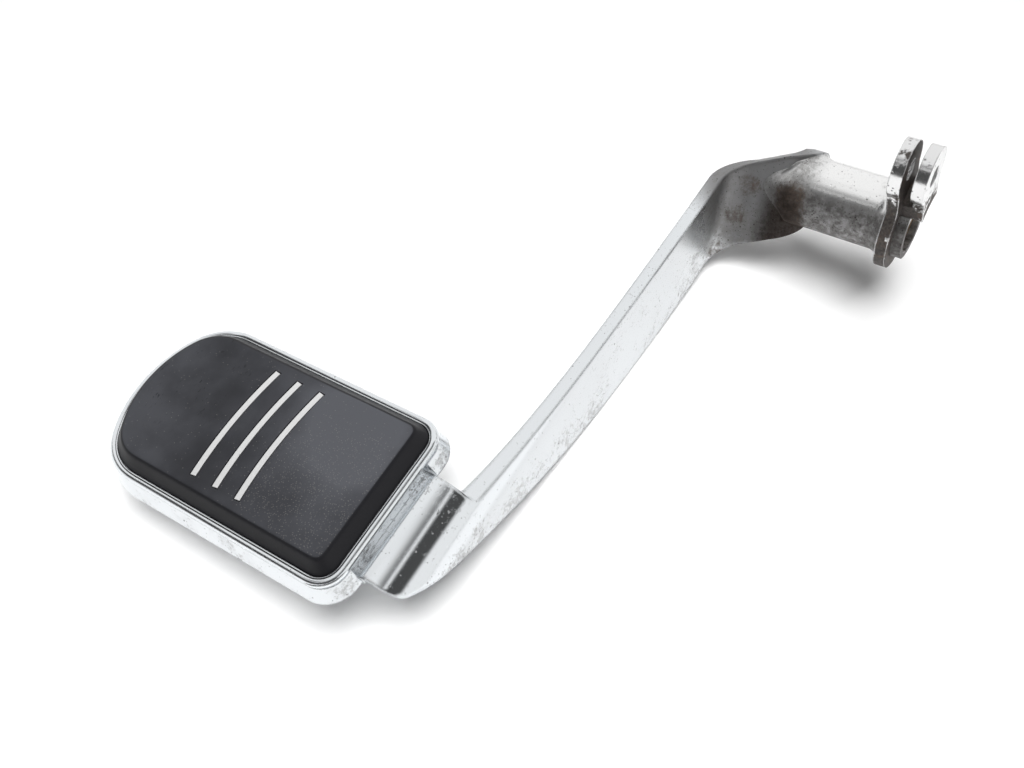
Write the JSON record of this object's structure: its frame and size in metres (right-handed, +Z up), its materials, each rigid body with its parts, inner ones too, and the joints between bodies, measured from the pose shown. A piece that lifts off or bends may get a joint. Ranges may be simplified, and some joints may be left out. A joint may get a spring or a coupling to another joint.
{
  "type": "rear brake pedal",
  "caption": "Motorcycle rear brake pedal: folded and joggled chrome flat-bar arm, welded pivot tube with a push-rod clevis, and a rubber foot pad in a chrome tray.",
  "frame": {"origin": "on the pivot axis, half way along the bearing bore", "axes": "+X forward from the pivot to the foot pad, +Y inboard along the pivot axis, +Z up, square to the pad"},
  "size_m": [0.2959, 0.2387, 0.0827],
  "materials": {
    "arm_chrome": "polished chrome plate, pitted, with rust at the inner fold",
    "tube_chrome": "thin chrome plate, mottled with pitting",
    "clevis_plate": "flaking chrome plate over rust",
    "bush_bronze": "greased bearing bronze",
    "tray_chrome": "polished chrome plate",
    "pad_black": "matt black rubber, dusty",
    "zinc_steel": "zinc plate, dulled"
  },
  "bodies": {
    "root": {"pedal_arm": "arm_chrome", "pivot_tube": "tube_chrome", "clevis_lever": "clevis_plate", "bush_outboard": "bush_bronze", "bush_inboard": "bush_bronze", "pad_tray": "tray_chrome", "pad_rubber": "pad_black", "pad_stud_inboard": "zinc_steel", "stud_lock_washer_inboard": "zinc_steel", "stud_nut_inboard": "zinc_steel", "pad_stud_outboard": "zinc_steel", "stud_lock_washer_outboard": "zinc_steel", "stud_nut_outboard": "zinc_steel"}
  },
  "joints": []
}
